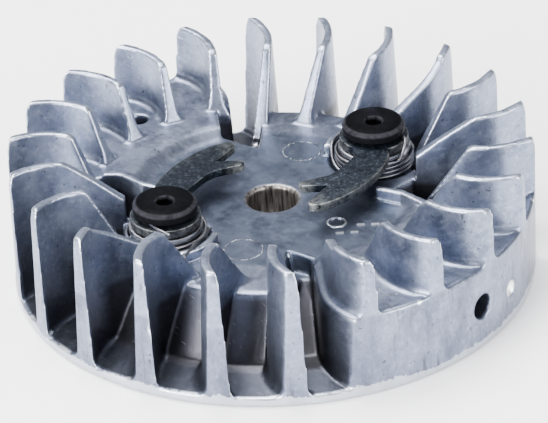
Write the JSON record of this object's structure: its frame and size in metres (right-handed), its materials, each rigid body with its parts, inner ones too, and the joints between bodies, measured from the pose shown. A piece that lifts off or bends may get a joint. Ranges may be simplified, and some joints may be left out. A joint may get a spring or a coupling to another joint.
{
  "type": "flywheel",
  "caption": "Die-cast cooling flywheel for a small two-stroke engine, with curved blower fins, a counterweight block, cast-in magnet and sprung starter pawls.",
  "frame": {"origin": "on the crankshaft axis, in the plane of the engine-side face (the lowest face of rim and hub)", "axes": "+Z along the crankshaft towards the starter side, +X through the middle fin of the counterweight block"},
  "size_m": [0.12, 0.12, 0.0336],
  "materials": {
    "casting": "as-cast aluminium, bluish grey, satin, with bright worn edges",
    "black_steel": "black phosphated steel, semi-matte",
    "pawl_steel": "mottled grey-green heat-treated steel",
    "bright_steel": "turned bright steel",
    "spring_wire": "drawn spring wire",
    "pole_steel": "ground mild steel with a trace of oil",
    "magnet": "dark sintered magnet, matte"
  },
  "bodies": {
    "root": {"flywheel_casting": "casting", "magnet": "magnet", "pole_shoe_leading": "pole_steel", "pole_shoe_trailing": "pole_steel", "pawl_screw_a": "black_steel", "pawl_bush_a": "bright_steel", "pawl_spring_a": "spring_wire", "pawl_screw_b": "black_steel", "pawl_bush_b": "bright_steel", "pawl_spring_b": "spring_wire"},
    "pawl_a": {"pawl_a": "pawl_steel"},
    "pawl_b": {"pawl_b": "pawl_steel"}
  },
  "joints": [
    {"name": "pawl_a_pivot", "type": "hinge", "parent": "root", "child": "pawl_a", "pos_m": [0.00944, 0.02742, 0.0232], "axis": [0, 0, 1], "range_deg": [0, 28], "stiffness_Nm_per_rad": 0.02, "springref_deg": -28.65, "deforming": ["pawl_spring_a"]},
    {"name": "pawl_b_pivot", "type": "hinge", "parent": "root", "child": "pawl_b", "pos_m": [-0.00944, -0.02742, 0.0232], "axis": [0, 0, 1], "range_deg": [0, 28], "stiffness_Nm_per_rad": 0.02, "springref_deg": -28.65, "deforming": ["pawl_spring_b"]}
  ]
}
